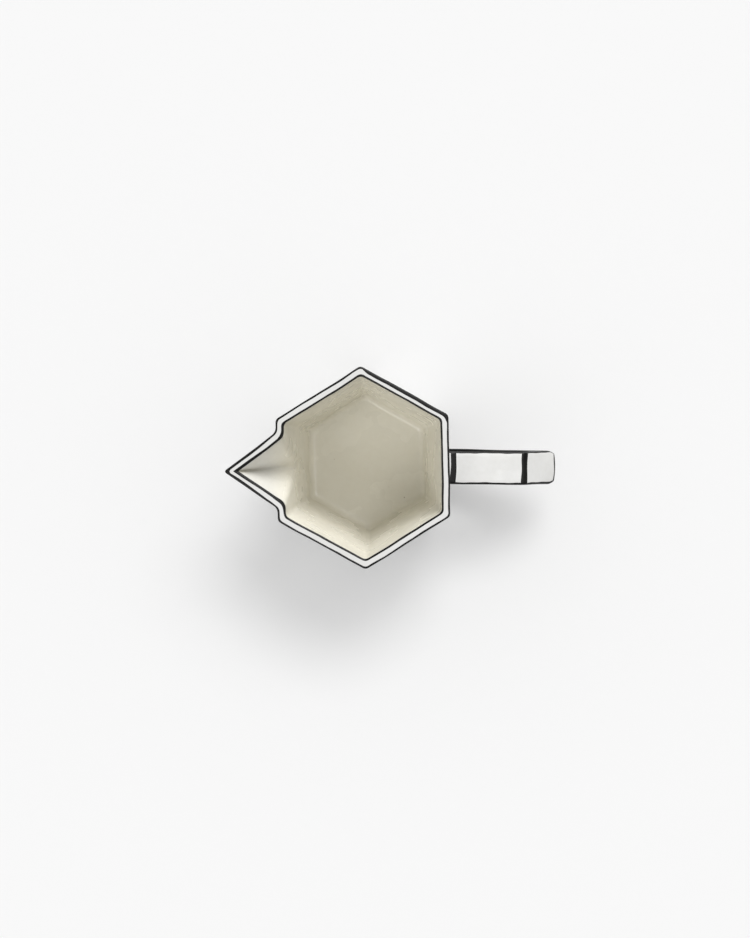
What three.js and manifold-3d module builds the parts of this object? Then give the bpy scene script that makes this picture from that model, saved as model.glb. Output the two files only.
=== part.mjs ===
// Cream jug in white glazed ceramic: a tapered hexagonal body with a pointed beak spout
// and an angular strap handle, every edge picked out with a brushed black line.
//
// Millimetres, +Z up. The jug stands on z = 0 with the spout towards -X and the handle
// towards +X. Shapes are worked out around the body's own axis, and the finished group
// is then moved so that its origin lies under the middle of the whole jug.

import * as THREE from "three";
import { ConvexGeometry } from "three/addons/geometries/ConvexGeometry.js";
import { mergeVertices } from "three/addons/utils/BufferGeometryUtils.js";
import Module from "manifold-3d";

const wasm = await Module();
wasm.setup();

// Body: a hexagon with two flats square to X, narrowing evenly from the rim to the foot.
const HEIGHT = 80;
const RIM_RADIUS = 42.5; // axis to a corner of the rim
const BASE_RADIUS = 34; // the same at table height
const STRETCH_Y = 1.017; // the hexagon is a little longer between its two corners on Y
const CORNER_ROUND = 1.5;
const RIM_WALL = 3.4; // thickness square to a flat, at the rim
const FLOOR_RADIUS = 29.9; // axis to a corner of the inside floor
const FLOOR_TOP = 6;
const HOLLOW_ROUND = 2.2;

// Foot: a low bare ring that keeps the glazed base off the table.
const FOOT_RADIUS = 32;
const FOOT_WIDTH = 4;
const FOOT_HEIGHT = 1.6;

// Spout: two flat sides that meet in a keel, and a trough of the same shape inside it.
const SPOUT_TIP = 58.3; // axis to the tip, along -X
const SPOUT_HALF_WIDTH = 16.4; // at the rim, where it leaves the body
const KEEL_ROOT = 40.3; // height at which the keel reaches the body
const SPOUT_WALL = 2.5;
const TROUGH_END = 24; // the trough runs into the hollow up to this distance from the axis
const TROUGH_ROUNDNESS = 0.26; // radius of its bed for each millimetre away from the tip
const TROUGH_STEPS = 4;

// Handle: a flat strap, seen from the side as four corner points of its outer surface.
const STRAP_THICKNESS = 3.4;
const STRAP_WIDTH = 14.1;
const UPPER_ROOT_HEIGHT = 62;
const SHOULDER = { x: 70, z: 54 };
const ELBOW = { x: 83.6, z: 37 };
const LOWER_ROOT_HEIGHT = 14;
const ROOT_DEPTH = 5; // how far the strap would reach into the body before it is trimmed

// Brushed lines: thin raised strips of black, laid over the edges.
const LINE_LIFT = 0.35; // top of a line above the glaze
const LINE_GAP = 0.1; // clearance under a line and between lines
const JOINT_GAP = 0.3; // clearance between clay pieces
const RIM_LINE = { width: 0.9, drop: 0.9 };
const LIP_LINE = { width: 0.6, drop: 0.6 }; // around the inner edge of the rim
const ARRIS_LINE_HALF = 0.7;
const KEEL_LINE_HALF = 0.6;
const ROOT_LINE_WIDTH = 1.1;
const FOOT_LINE = { low: 2.1, high: 3.2 };
const STRAP_LINE_WIDTH = 1.0;
const STRAP_BAND_WIDTH = 2.0;
const UPPER_BAND_START = 37.4; // axis to the near edge of the band at the upper root
const LOWER_BAND_START = 34.5;

const HEX_SIDES = 6;
const FLAT = Math.cos(Math.PI / HEX_SIDES); // flat distance over corner distance
const ABOVE = 1.5; // how far cutting shapes stand above the rim
const FAR = 60;

const whiteGlaze = new THREE.MeshStandardMaterial({ color: 0xe6e4de, roughness: 0.15, metalness: 0 });
const bareClay = new THREE.MeshStandardMaterial({ color: 0xd8d0c0, roughness: 0.8, metalness: 0 });
const blackLine = new THREE.MeshStandardMaterial({ color: 0x141412, roughness: 0.25, metalness: 0 });

// ---- solids and meshes ----

function solidOf(geometry) {
  const bare = geometry.clone();
  bare.deleteAttribute("normal");
  bare.deleteAttribute("uv");
  const welded = mergeVertices(bare, 1e-4);
  return new wasm.Manifold(new wasm.Mesh({
    numProp: 3,
    vertProperties: new Float32Array(welded.attributes.position.array),
    triVerts: new Uint32Array(welded.index.array),
  }));
}

function meshOf(name, solid, material) {
  const data = solid.getMesh();
  const geometry = new THREE.BufferGeometry();
  geometry.setAttribute("position", new THREE.BufferAttribute(data.vertProperties, 3));
  geometry.setIndex(new THREE.BufferAttribute(data.triVerts, 1));
  geometry.computeVertexNormals();
  const mesh = new THREE.Mesh(geometry, material);
  mesh.name = name;
  return mesh;
}

function block(low, high) {
  const size = high.map((value, axis) => value - low[axis]);
  const geometry = new THREE.BoxGeometry(...size);
  geometry.translate(...low.map((value, axis) => value + size[axis] / 2));
  return solidOf(geometry);
}

// ---- body ----

function roundedHexagon(radius, round) {
  const shape = new THREE.Shape();
  const centreDistance = radius - round / FLAT;
  const halfTurn = Math.PI / HEX_SIDES;
  for (let side = 0; side < HEX_SIDES; side++) {
    const angle = (2 * side + 1) * halfTurn;
    shape.absarc(
      centreDistance * Math.cos(angle), centreDistance * Math.sin(angle),
      round, angle - halfTurn, angle + halfTurn, false,
    );
  }
  shape.closePath();
  return shape;
}

// A hexagonal block from zLow to zHigh whose corner radius changes evenly with height.
function hexagonalBlock(zLow, radiusLow, zHigh, radiusHigh, round) {
  const shape = roundedHexagon(radiusHigh, round);
  const geometry = new THREE.ExtrudeGeometry(shape, {
    depth: zHigh - zLow, bevelEnabled: false, curveSegments: 2,
  });
  geometry.translate(0, 0, zLow);
  const position = geometry.attributes.position;
  for (let i = 0; i < position.count; i++) {
    const share = (position.getZ(i) - zLow) / (zHigh - zLow);
    const scale = THREE.MathUtils.lerp(radiusLow / radiusHigh, 1, share);
    position.setX(i, position.getX(i) * scale);
    position.setY(i, position.getY(i) * scale * STRETCH_Y);
  }
  return solidOf(geometry);
}

function outerRadiusAt(z) {
  return THREE.MathUtils.lerp(BASE_RADIUS, RIM_RADIUS, z / HEIGHT);
}

function hollowRadiusAt(z) {
  const atRim = RIM_RADIUS - RIM_WALL / FLAT;
  return THREE.MathUtils.lerp(FLOOR_RADIUS, atRim, (z - FLOOR_TOP) / (HEIGHT - FLOOR_TOP));
}

// The body as if it were not hollow, grown by offset, between two heights.
function bodyBlock(offset, zLow, zHigh) {
  const grow = offset / FLAT;
  return hexagonalBlock(
    zLow, outerRadiusAt(zLow) + grow, zHigh, outerRadiusAt(zHigh) + grow, CORNER_ROUND + offset,
  );
}

function hollowBlock(offset, zLow, zHigh) {
  const grow = offset / FLAT;
  return hexagonalBlock(
    zLow, hollowRadiusAt(zLow) + grow, zHigh, hollowRadiusAt(zHigh) + grow, HOLLOW_ROUND + offset,
  );
}

// ---- spout ----

// The +Y side of the beak as a plane: normal . point = level.
const spoutSide = (() => {
  const tip = new THREE.Vector3(-SPOUT_TIP, 0, HEIGHT);
  const corner = new THREE.Vector3(-RIM_RADIUS * FLAT, SPOUT_HALF_WIDTH, HEIGHT);
  const keel = new THREE.Vector3(-outerRadiusAt(KEEL_ROOT) * FLAT, 0, KEEL_ROOT);
  const normal = corner.sub(tip).cross(keel.sub(tip)).normalize();
  return { normal, level: normal.dot(tip) };
})();

// The beak grown by offset, from its tip to the section at x = -end, up to height top.
// roundness above zero rounds the bed where the two sides meet.
function beakBlock(offset, end, top, roundness = 0) {
  const { normal } = spoutSide;
  const level = spoutSide.level + offset;
  const tipX = (level - normal.z * top) / normal.x;
  const sectionLevel = level + normal.x * end;
  const topY = (sectionLevel - normal.z * top) / normal.y;
  const points = [
    new THREE.Vector3(tipX, 0, top),
    new THREE.Vector3(-end, topY, top),
    new THREE.Vector3(-end, -topY, top),
  ];
  const bedRadius = roundness * (-end - tipX);
  const across = Math.hypot(normal.y, normal.z);
  const centreZ = (sectionLevel - bedRadius * across) / normal.z;
  const reach = Math.atan2(normal.y, -normal.z);
  const steps = roundness > 0 ? TROUGH_STEPS : 0;
  for (let i = 0; i <= steps; i++) {
    const angle = steps > 0 ? reach * ((2 * i) / steps - 1) : 0;
    points.push(new THREE.Vector3(
      -end, bedRadius * Math.sin(angle), centreZ - bedRadius * Math.cos(angle),
    ));
  }
  return solidOf(new ConvexGeometry(points));
}

function troughBlock(offset) {
  return beakBlock(offset - SPOUT_WALL, TROUGH_END, HEIGHT + ABOVE, TROUGH_ROUNDNESS);
}

// ---- handle ----

function wallAt(z) {
  return outerRadiusAt(z) * FLAT;
}

// A point on the line from one corner of the strap through its root, inside the body.
function buriedRoot(corner, rootHeight) {
  const root = new THREE.Vector2(wallAt(rootHeight), rootHeight);
  const inward = root.clone().sub(new THREE.Vector2(corner.x, corner.z)).normalize();
  return root.addScaledVector(inward, ROOT_DEPTH);
}

const strapPath = [
  buriedRoot(SHOULDER, UPPER_ROOT_HEIGHT),
  new THREE.Vector2(SHOULDER.x, SHOULDER.z),
  new THREE.Vector2(ELBOW.x, ELBOW.z),
  buriedRoot(ELBOW, LOWER_ROOT_HEIGHT),
];

// The strap's side view moved outwards by distance, with its corners kept sharp.
function offsetPath(distance) {
  const normals = [];
  for (let i = 0; i + 1 < strapPath.length; i++) {
    const along = strapPath[i + 1].clone().sub(strapPath[i]).normalize();
    normals.push(new THREE.Vector2(-along.y, along.x));
  }
  return strapPath.map((point, i) => {
    const before = normals[Math.max(i - 1, 0)];
    const after = normals[Math.min(i, normals.length - 1)];
    const middle = before.clone().add(after).normalize();
    return point.clone().addScaledVector(middle, distance / middle.dot(after));
  });
}

// The part of the strap between two depths below its outer surface and between two
// distances from its middle plane.
function strapBlock(outer, inner, yLow, yHigh) {
  const outline = [...offsetPath(outer), ...offsetPath(inner).reverse()];
  const geometry = new THREE.ExtrudeGeometry(new THREE.Shape(outline), {
    depth: yHigh - yLow, bevelEnabled: false,
  });
  geometry.rotateX(Math.PI / 2);
  geometry.translate(0, yHigh, 0);
  return solidOf(geometry);
}

function wholeStrap(offset) {
  const half = STRAP_WIDTH / 2 + offset;
  return strapBlock(offset, -STRAP_THICKNESS - offset, -half, half);
}

// ---- shared solids ----

const body = bodyBlock(0, 0, HEIGHT + ABOVE);
const bodyWithJointGap = bodyBlock(JOINT_GAP, 0, HEIGHT + ABOVE);
const bodyUnderLines = bodyBlock(LINE_GAP, 0, HEIGHT + ABOVE);
const bodyWithLines = bodyBlock(LINE_LIFT, 0, HEIGHT + ABOVE);
const bodyPastLines = bodyBlock(LINE_LIFT + LINE_GAP, 0, HEIGHT + ABOVE);
const beakUnderLines = beakBlock(LINE_GAP, TROUGH_END, HEIGHT + ABOVE);
const beakWithLines = beakBlock(LINE_LIFT, TROUGH_END, HEIGHT + ABOVE);
const strapUnderLines = wholeStrap(LINE_GAP);
const wallSkin = bodyWithLines.subtract(bodyUnderLines);
const beakSkin = beakWithLines.subtract(beakUnderLines).subtract(bodyPastLines);
const arrisTop = HEIGHT - RIM_LINE.drop - LINE_GAP;

function between(zLow, zHigh) {
  return block([-2 * FAR, -FAR, zLow], [2 * FAR, FAR, zHigh]);
}

// ---- clay pieces ----

function bodyShell() {
  return bodyBlock(0, FOOT_HEIGHT + LINE_GAP, HEIGHT)
    .subtract(hollowBlock(0, FLOOR_TOP, HEIGHT + ABOVE))
    .subtract(troughBlock(0));
}

function footRing() {
  const ring = hexagonalBlock(0, FOOT_RADIUS, FOOT_HEIGHT, FOOT_RADIUS, CORNER_ROUND);
  const insideRadius = FOOT_RADIUS - FOOT_WIDTH;
  return ring.subtract(hexagonalBlock(-1, insideRadius, FOOT_HEIGHT + 1, insideRadius, CORNER_ROUND));
}

function spout() {
  return beakBlock(0, TROUGH_END, HEIGHT).subtract(bodyWithJointGap).subtract(troughBlock(0));
}

function handle() {
  return wholeStrap(0).subtract(bodyWithJointGap);
}

// ---- brushed lines ----

function rimOuterLine() {
  const top = HEIGHT + LINE_LIFT;
  const low = HEIGHT - RIM_LINE.drop;
  const outside = bodyWithLines.add(beakWithLines).intersect(between(low, top));
  const clay = bodyUnderLines.add(beakUnderLines).intersect(between(0, HEIGHT + LINE_GAP));
  const middle = bodyBlock(-RIM_LINE.width, 0, HEIGHT + ABOVE)
    .add(beakBlock(-RIM_LINE.width, TROUGH_END, HEIGHT + ABOVE));
  return outside.subtract(clay).subtract(middle);
}

function rimInnerLine() {
  const opening = (offset) => hollowBlock(offset, FLOOR_TOP, HEIGHT + ABOVE).add(troughBlock(offset));
  const zone = between(HEIGHT - LIP_LINE.drop, HEIGHT + LINE_LIFT);
  const clay = between(0, HEIGHT + LINE_GAP).subtract(opening(-LINE_GAP));
  return opening(LIP_LINE.width).intersect(zone).subtract(clay).subtract(opening(-LINE_LIFT));
}

function arrisLine(side) {
  const strip = new THREE.BoxGeometry(FAR, 2 * ARRIS_LINE_HALF, arrisTop - FOOT_LINE.high - LINE_GAP);
  strip.translate(FAR / 2, 0, (arrisTop + FOOT_LINE.high + LINE_GAP) / 2);
  const corner = ((2 * side + 1) * Math.PI) / HEX_SIDES;
  strip.rotateZ(Math.atan2(STRETCH_Y * Math.sin(corner), Math.cos(corner)));
  return wallSkin.intersect(solidOf(strip));
}

function footLine() {
  return wallSkin.intersect(between(FOOT_LINE.low, FOOT_LINE.high));
}

function keelLine() {
  return beakSkin.intersect(block([-FAR, -KEEL_LINE_HALF, 0], [0, KEEL_LINE_HALF, arrisTop]));
}

function spoutRootLine(sign) {
  const start = KEEL_LINE_HALF + LINE_GAP;
  const low = Math.min(sign * start, sign * FAR);
  const zone = block([-FAR, low, 0], [0, low + FAR - start, arrisTop]);
  return beakSkin
    .intersect(bodyBlock(LINE_LIFT + LINE_GAP + ROOT_LINE_WIDTH, 0, HEIGHT + ABOVE))
    .intersect(zone);
}

function strapEdgeLine(outerFace, sign) {
  const outer = outerFace ? LINE_LIFT : STRAP_LINE_WIDTH - STRAP_THICKNESS;
  const inner = outerFace ? -STRAP_LINE_WIDTH : -STRAP_THICKNESS - LINE_LIFT;
  const near = STRAP_WIDTH / 2 - STRAP_LINE_WIDTH;
  const far = STRAP_WIDTH / 2 + LINE_LIFT;
  const low = sign > 0 ? near : -far;
  return strapBlock(outer, inner, low, low + far - near)
    .subtract(strapUnderLines)
    .subtract(bodyPastLines);
}

// A band across the strap's outer face, between two distances from the body's axis.
function strapBand(xLow, xHigh, zLow, zHigh) {
  const half = STRAP_WIDTH / 2 - STRAP_LINE_WIDTH - 2 * LINE_GAP;
  return strapBlock(LINE_LIFT, -STRAP_THICKNESS / 2, -half, half)
    .subtract(strapUnderLines)
    .subtract(bodyPastLines)
    .intersect(block([xLow, -FAR, zLow], [xHigh, FAR, zHigh]));
}

// ---- assembly ----

const jug = new THREE.Group();

function place(name, solid, material) {
  jug.add(meshOf(name, solid, material));
}

place("body_shell", bodyShell(), whiteGlaze);
place("foot_ring", footRing(), bareClay);
place("spout", spout(), whiteGlaze);
place("handle", handle(), whiteGlaze);

place("rim_outer_line", rimOuterLine(), blackLine);
place("rim_inner_line", rimInnerLine(), blackLine);
place("foot_line", footLine(), blackLine);
for (let side = 0; side < HEX_SIDES; side++) {
  place(`arris_line_${side + 1}`, arrisLine(side), blackLine);
}
place("spout_keel_line", keelLine(), blackLine);
for (const [sideName, sign] of [["right", 1], ["left", -1]]) {
  place(`spout_root_line_${sideName}`, spoutRootLine(sign), blackLine);
  place(`handle_outer_line_${sideName}`, strapEdgeLine(true, sign), blackLine);
  place(`handle_inner_line_${sideName}`, strapEdgeLine(false, sign), blackLine);
}

const halfBand = STRAP_BAND_WIDTH / 2;
const middleHeight = (SHOULDER.z + ELBOW.z) / 2;
const bands = {
  handle_upper_root_band: [UPPER_BAND_START, UPPER_BAND_START + STRAP_BAND_WIDTH, middleHeight, HEIGHT],
  handle_shoulder_band: [SHOULDER.x - halfBand, SHOULDER.x + halfBand, middleHeight, HEIGHT],
  handle_elbow_band: [ELBOW.x - halfBand, ELBOW.x + halfBand, 0, middleHeight],
  handle_lower_root_band: [LOWER_BAND_START, LOWER_BAND_START + STRAP_BAND_WIDTH, 0, middleHeight],
};
for (const [name, limits] of Object.entries(bands)) {
  place(name, strapBand(...limits), blackLine);
}

const extent = new THREE.Box3().setFromObject(jug);
jug.position.x = -(extent.min.x + extent.max.x) / 2;

export default jug;
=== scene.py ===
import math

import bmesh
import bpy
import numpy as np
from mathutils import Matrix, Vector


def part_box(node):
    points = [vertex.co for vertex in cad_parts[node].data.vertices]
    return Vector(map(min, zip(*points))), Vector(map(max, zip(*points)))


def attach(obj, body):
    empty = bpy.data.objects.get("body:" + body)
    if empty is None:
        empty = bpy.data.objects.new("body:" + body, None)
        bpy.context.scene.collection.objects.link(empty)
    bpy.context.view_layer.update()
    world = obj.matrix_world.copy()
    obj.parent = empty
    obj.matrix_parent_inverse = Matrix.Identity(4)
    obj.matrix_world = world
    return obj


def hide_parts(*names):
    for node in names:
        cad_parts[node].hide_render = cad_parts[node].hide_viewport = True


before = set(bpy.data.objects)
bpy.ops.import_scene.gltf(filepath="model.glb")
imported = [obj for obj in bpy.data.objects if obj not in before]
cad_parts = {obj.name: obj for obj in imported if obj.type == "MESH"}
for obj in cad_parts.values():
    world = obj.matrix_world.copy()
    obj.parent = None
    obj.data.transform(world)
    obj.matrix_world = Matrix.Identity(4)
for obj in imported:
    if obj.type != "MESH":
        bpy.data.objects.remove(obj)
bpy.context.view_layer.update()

# Hexagonal cream jug in white glazed ceramic with brushed black lines along its edges.
#
# Shapes are worked out in millimetres round the upright axis of the body, with the
# spout towards -X and the handle towards +X. finished() then moves each one to its
# place in the frame, in metres.

MM = 0.001


def box_mm(node):
    low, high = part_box(node)
    return low / MM, high / MM


# ---- sizes taken from the frame ----

shell_low, shell_high = box_mm("body_shell")
spout_low = box_mm("spout")[0]
strap_high = box_mm("handle")[1]
foot_low, foot_high = box_mm("foot_ring")
foot_line_low, foot_line_high = box_mm("foot_line")
shoulder_low, shoulder_high = box_mm("handle_shoulder_band")
upper_band_low = box_mm("handle_upper_root_band")[0]

AXIS_X = (shell_low.x + shell_high.x) / 2
RIM_Z = shell_high.z
BASE_Z = shell_low.z
RIM_FLAT = (shell_high.x - shell_low.x) / 2  # axis to a flat side, at the rim
CAD_LIFT = box_mm("rim_outer_line")[1].z - RIM_Z  # how far the frame's lines stand proud
FOOT_LINE_FLAT = (foot_line_high.x - foot_line_low.x) / 2 - CAD_LIFT
WALL_SLOPE = (RIM_FLAT - FOOT_LINE_FLAT) / (RIM_Z - foot_line_high.z)
TIP_SOFTENING = 1.6  # the sharp tip is this far past the frame's, before it is blended
SPOUT_TIP = AXIS_X - spout_low.x + TIP_SOFTENING
KEEL_ROOT_Z = spout_low.z

# ---- sizes of the clay ----

SIDES = 6
FLAT = math.cos(math.pi / SIDES)
CORNER_SHARPENING = 1.011  # the sharp hexagon is wider than the frame's, before it is blended
STRETCH_Y = (shell_high.y - shell_low.y) / 2 * FLAT / RIM_FLAT * CORNER_SHARPENING
RIM_WALL = 3.4
FLOOR_TOP = 6.0
FLOOR_FLAT = 25.9  # axis to a flat side of the inside floor
FLOOR_FILLET = 2.6
IVORY_AND_BOUNCE_DEPTH = 2.5  # inside, the colour is fully ivory with painted bounce light this far below the rim
ARRIS_ROUND = 1.3  # how far the two flats of an outer edge blend into each other
HOLLOW_ROUND = 1.5
RIM_OUTER_ROUND = 0.6
RIM_INNER_ROUND = 0.5
BASE_ROUND = 1.0
FOOT_CORNER_WIDTH = 4.0
FOOT_WIDTH = FOOT_CORNER_WIDTH * FLAT
FOOT_ROUND = 0.5
FOOT_OVERLAP = 0.12  # the foot is this much taller than the frame's, to meet the body
FOOT_CORNER_STEPS = 4
SPOUT_HALF_WIDTH = 16.4  # at the rim, where it leaves the body
SPOUT_WALL = 2.5
SPOUT_REACH_IN = 24.0  # the beak's own shape ends this far from the axis, inside the body
KEEL_BLEND = 1.5
ROOT_BLEND = 1.7
MOUTH_BLEND = 2.0
BED_AT_TIP = 0.2
BED_GROWTH = 0.0045  # the bed of the trough widens with the square of the way from the tip
TURN = math.radians(1.5)  # the body and spout sit a little askew to the handle
STRAP_SKEW = math.radians(-0.7)
STRAP_SHIFT = -0.62

# ---- sizes of the brushwork ----

STROKE_LIFT = 0.07
STROKE_EDGE_SINK = 0.25  # share of the lift that a stroke's long edges lie under the glaze
STROKE_SINK = 0.12
STROKE_TOP_STEPS = 8
STROKE_UNDER_STEPS = 3


# ---- the body as fields: negative inside, in millimetres from the surface ----

def smooth_max(a, b, blend):
    overlap = np.maximum(blend - np.abs(a - b), 0) / blend
    return np.maximum(a, b) + overlap * overlap * blend / 4


def smooth_min(a, b, blend):
    return -smooth_max(-a, -b, blend)


def wall_flat(z):
    return RIM_FLAT + (z - RIM_Z) * WALL_SLOPE


def hollow_flat(z):
    rim = RIM_FLAT - RIM_WALL
    return rim + (z - RIM_Z) * (rim - FLOOR_FLAT) / (RIM_Z - FLOOR_TOP)


def unevenness(x, y, z):
    """The soft waviness of clay that was built and smoothed by hand."""
    angle = np.arctan2(y, x)
    slow = 0.13 * np.sin(2 * angle + z / 31 + 0.7) + 0.09 * np.sin(5 * angle - z / 23 + 2.1)
    return slow + 0.05 * np.sin(11 * angle + z / 13) + 0.03 * np.sin(17 * angle - z / 7 + 1.3)


def hexagon(x, y, flat, blend):
    y = y / STRETCH_Y
    distance = None
    for side in range(SIDES):
        direction = 2 * math.pi * side / SIDES
        plane = x * math.cos(direction) + y * math.sin(direction) - flat
        distance = plane if distance is None else smooth_max(distance, plane, blend)
    return distance


def beak_side():
    tip = Vector((-SPOUT_TIP, 0, RIM_Z))
    corner = Vector((-RIM_FLAT, SPOUT_HALF_WIDTH, RIM_Z))
    keel = Vector((-wall_flat(KEEL_ROOT_Z), 0, KEEL_ROOT_Z))
    normal = (corner - tip).cross(keel - tip).normalized()
    return normal, normal.dot(tip)


BEAK_NORMAL, BEAK_LEVEL = beak_side()
TROUGH_INSET = SPOUT_WALL - TIP_SOFTENING * BEAK_NORMAL.x
TROUGH_TIP = SPOUT_TIP + TROUGH_INSET / BEAK_NORMAL.x


def beak(x, y, z, inset, blend):
    middle = x * BEAK_NORMAL.x + z * BEAK_NORMAL.z - BEAK_LEVEL + inset
    sides = smooth_max(middle + y * BEAK_NORMAL.y, middle - y * BEAK_NORMAL.y, blend)
    return np.maximum(sides, x + SPOUT_REACH_IN)


def outside(x, y, z):
    body = hexagon(x, y, wall_flat(z), ARRIS_ROUND)
    return smooth_min(body, beak(x, y, z, 0, KEEL_BLEND), ROOT_BLEND) + unevenness(x, y, z)


def hollow(x, y, z):
    body = hexagon(x, y, hollow_flat(z), HOLLOW_ROUND)
    bed = BED_AT_TIP + BED_GROWTH * np.maximum(x + TROUGH_TIP, 0) ** 2
    trough = beak(x, y, z, TROUGH_INSET, bed)
    return smooth_min(body, trough, MOUTH_BLEND) + unevenness(x, y, z + 9)


NEAREST = 4.0  # every wall lies between these distances from the axis
FARTHEST = 75.0
HALVINGS = 30


def radius_at(field, angle, z, level):
    """How far from the axis the field reaches a level, in each direction."""
    low = np.full(angle.shape, NEAREST)
    high = np.full(angle.shape, FARTHEST)
    for _ in range(HALVINGS):
        middle = (low + high) / 2
        inside = field(middle * np.cos(angle), middle * np.sin(angle), z) < level
        low = np.where(inside, middle, low)
        high = np.where(inside, high, middle)
    return (low + high) / 2


def rim_wave(angle, z):
    """The rim isn't quite level, and the walls follow it."""
    share = np.clip(z / RIM_Z, 0, 1) ** 3
    return z + share * (0.12 * np.sin(2 * angle + 0.4) + 0.07 * np.sin(5 * angle + 2))


def on_ring(angle, radius, z):
    return np.stack([radius * np.cos(angle), radius * np.sin(angle), rim_wave(angle, z)], axis=-1)


def corner_degrees(side):
    """Where an upright edge of the body is, round the axis."""
    return 60 * side + 30


SPOUT_TIP_AT = 180.0  # degrees round the axis
SPOUT_ROOTS_AT = (156.0, 204.0)


FINE_DIRECTIONS = 7201  # one for every twentieth of a degree


def spread_angles(count):
    """Directions round the axis, closest together at the edges and at the spout."""
    fine = np.linspace(0, 360, FINE_DIRECTIONS)
    density = np.ones_like(fine)
    crowded = [(corner_degrees(side), 3.0, 3.0) for side in range(SIDES)]
    crowded += [(SPOUT_TIP_AT, 7.0, 4.0)] + [(root, 3.0, 4.0) for root in SPOUT_ROOTS_AT]
    for centre, extra, width in crowded:
        density += extra * np.exp(-(((fine - centre) / width) ** 2))
    total = np.concatenate([[0], np.cumsum((density[1:] + density[:-1]) / 2)])
    steps = np.linspace(0, total[-1], count + 1)[:-1]
    return np.radians(np.interp(steps, total, fine))


DIRECTIONS = 480
angles = spread_angles(DIRECTIONS)


# ---- meshes from rings and sections ----

SPUN_AT = 10.0  # how far from the axis a plain profile is spun, before it is pressed
SAME_POINT = 1e-3  # closer than this, two points become one


def thrown(rings, closed):
    """A profile with one point for each ring, spun round the axis and pressed to the rings."""
    mesh = bmesh.new()
    row = mesh.verts.layers.int.new("row")
    for index in range(len(rings)):
        phase = 2 * math.pi * index / len(rings)
        vert = mesh.verts.new((SPUN_AT + math.cos(phase), 0, math.sin(phase)))
        vert[row] = index
    verts = list(mesh.verts)
    edges = [mesh.edges.new(pair) for pair in zip(verts, verts[1:])]
    if closed:
        edges.append(mesh.edges.new((verts[-1], verts[0])))
    bmesh.ops.spin(
        mesh, geom=verts + edges, axis=(0, 0, 1), cent=(0, 0, 0), angle=2 * math.pi,
        steps=len(rings[0]), use_merge=True,
    )
    step = 2 * math.pi / len(rings[0])
    for vert in mesh.verts:
        column = round(math.atan2(vert.co.y, vert.co.x) / step) % len(rings[0])
        vert.co = rings[vert[row]][column]
    bmesh.ops.remove_doubles(mesh, verts=mesh.verts, dist=SAME_POINT)
    bmesh.ops.recalc_face_normals(mesh, faces=mesh.faces)
    return mesh


def tube(sections):
    """A circle with one corner for each point of a section, extruded along the sections."""
    mesh = bmesh.new()
    side = mesh.verts.layers.int.new("side")
    bmesh.ops.create_circle(mesh, cap_ends=True, segments=len(sections[0]), radius=1)
    mesh.faces.ensure_lookup_table()
    cap = mesh.faces[0]
    for index, vert in enumerate(cap.verts):
        vert[side] = index
        vert.co = sections[0][index]
    for number, section in enumerate(sections[1:]):
        made = bmesh.ops.extrude_face_region(mesh, geom=[cap])
        if number > 0:
            bmesh.ops.delete(mesh, geom=[cap], context="FACES_ONLY")
        cap = next(item for item in made["geom"] if isinstance(item, bmesh.types.BMFace))
        for vert in cap.verts:
            vert.co = section[vert[side]]
    bmesh.ops.recalc_face_normals(mesh, faces=mesh.faces)
    return mesh


jug_pieces = []


def finished(name, mesh, material, nodes):
    """The mesh as a piece in its place in the frame, standing for the nodes."""
    bmesh.ops.scale(mesh, vec=(MM, MM, MM), verts=mesh.verts)
    bmesh.ops.translate(mesh, vec=(AXIS_X * MM, 0, 0), verts=mesh.verts)
    data = bpy.data.meshes.new(name)
    mesh.to_mesh(data)
    mesh.free()
    for polygon in data.polygons:
        polygon.use_smooth = True
    data.materials.append(material)
    piece = bpy.data.objects.new(name, data)
    bpy.context.scene.collection.objects.link(piece)
    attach(piece, "root")
    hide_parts(*nodes)
    jug_pieces.append(piece)
    return piece


def turned(mesh):
    bmesh.ops.rotate(mesh, cent=(0, 0, 0), matrix=Matrix.Rotation(TURN, 3, "Z"), verts=mesh.verts)
    return mesh


# ---- body and spout ----

def lip_rows(radius, steps):
    """Depth under the wall and drop under the rim, round the edge from the wall to the top."""
    rows = []
    for step in range(steps + 1):
        phase = step / steps * math.pi / 2
        rows.append((radius * (1 - math.cos(phase)), radius * (1 - math.sin(phase))))
    return rows


LIP_STEPS = 6
BASE_STEPS = 5
FILLET_STEPS = 7
OUTER_SPACING = 2.2
INNER_SPACING = 2.0
UNDERSIDE_SHARES = (0, 0.35, 0.65, 0.85, 0.95)  # rings of the underside, from its middle
LIP_TOP_SHARES = (0.25, 0.5, 0.75)
FLOOR_SHARES = (0.96, 0.88, 0.75, 0.6, 0.4, 0.2, 0)  # rings of the inside floor, to its middle


def wall_heights(low, high, spacing):
    return np.linspace(low, high, max(2, round((high - low) / spacing)))[1:-1]


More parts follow.
